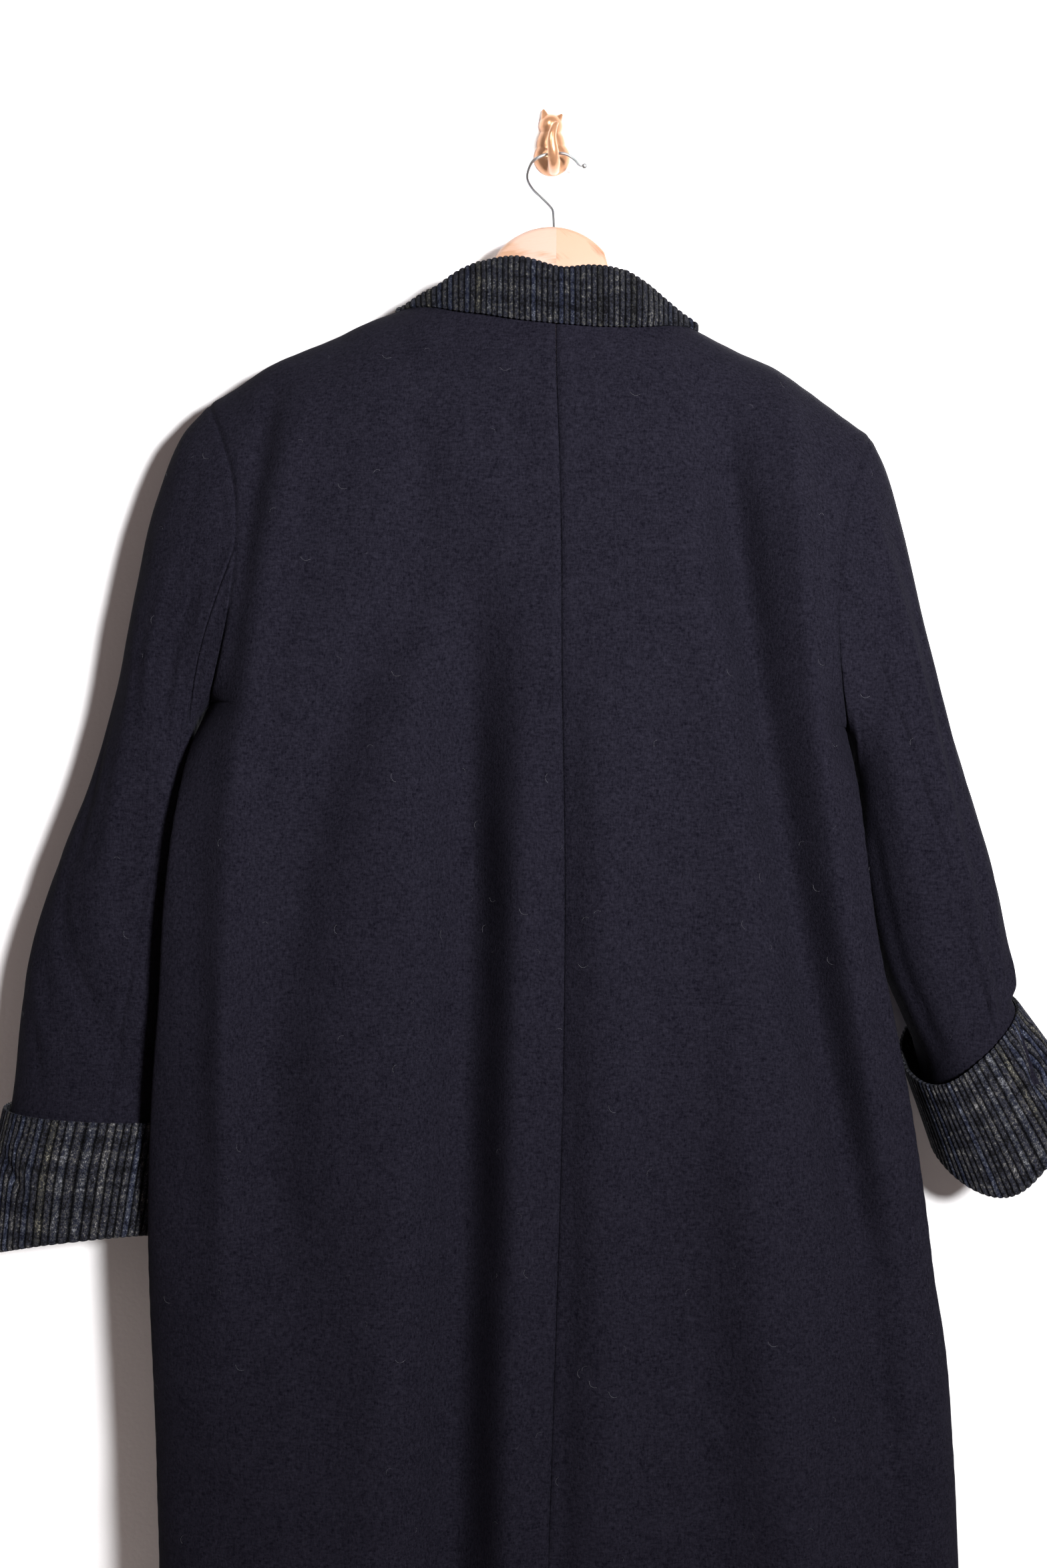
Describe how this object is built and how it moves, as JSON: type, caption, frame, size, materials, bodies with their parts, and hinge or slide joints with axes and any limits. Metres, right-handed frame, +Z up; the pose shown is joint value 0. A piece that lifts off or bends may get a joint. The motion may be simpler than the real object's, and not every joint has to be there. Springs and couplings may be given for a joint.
{
  "type": "wool coat on wall hook",
  "caption": "Long loose navy wool coat with corduroy collar and turned-back cuffs, seen from the back, on a wooden hanger hung on a small cat-shaped wall hook.",
  "frame": {"origin": "middle of the wall hook's flat back, on the wall", "axes": "+Z up, +Y into the wall, +X to the right as seen from the room"},
  "size_m": [0.8461, 0.1608, 1.3714],
  "materials": {
    "back_left": "napped melton wool",
    "back_right": "napped melton wool",
    "button_1": "dark horn look",
    "button_2": "dark horn look",
    "button_3": "dark horn look",
    "collar": "wide-wale corduroy with a muted check",
    "collar_stand": "wide-wale corduroy with a muted check",
    "cuff_left": "wide-wale corduroy with a muted check",
    "cuff_right": "wide-wale corduroy with a muted check",
    "front_left": "napped melton wool",
    "front_right": "napped melton wool",
    "hanger_arm_left": "clear lacquered, satin",
    "hanger_arm_right": "clear lacquered, satin",
    "hanger_hook": "polished wire",
    "sleeve_top_left": "napped melton wool",
    "sleeve_top_right": "napped melton wool",
    "sleeve_under_left": "napped melton wool",
    "sleeve_under_right": "napped melton wool",
    "wall_hook": "copper-coloured, satin polished"
  },
  "bodies": {
    "root": {"back_left": "back_left", "back_right": "back_right", "button_1": "button_1", "button_2": "button_2", "button_3": "button_3", "collar": "collar", "collar_stand": "collar_stand", "cuff_left": "cuff_left", "cuff_right": "cuff_right", "front_left": "front_left", "front_right": "front_right", "hanger_arm_left": "hanger_arm_left", "hanger_arm_right": "hanger_arm_right", "hanger_hook": "hanger_hook", "sleeve_top_left": "sleeve_top_left", "sleeve_top_right": "sleeve_top_right", "sleeve_under_left": "sleeve_under_left", "sleeve_under_right": "sleeve_under_right", "wall_hook": "wall_hook"}
  },
  "joints": []
}
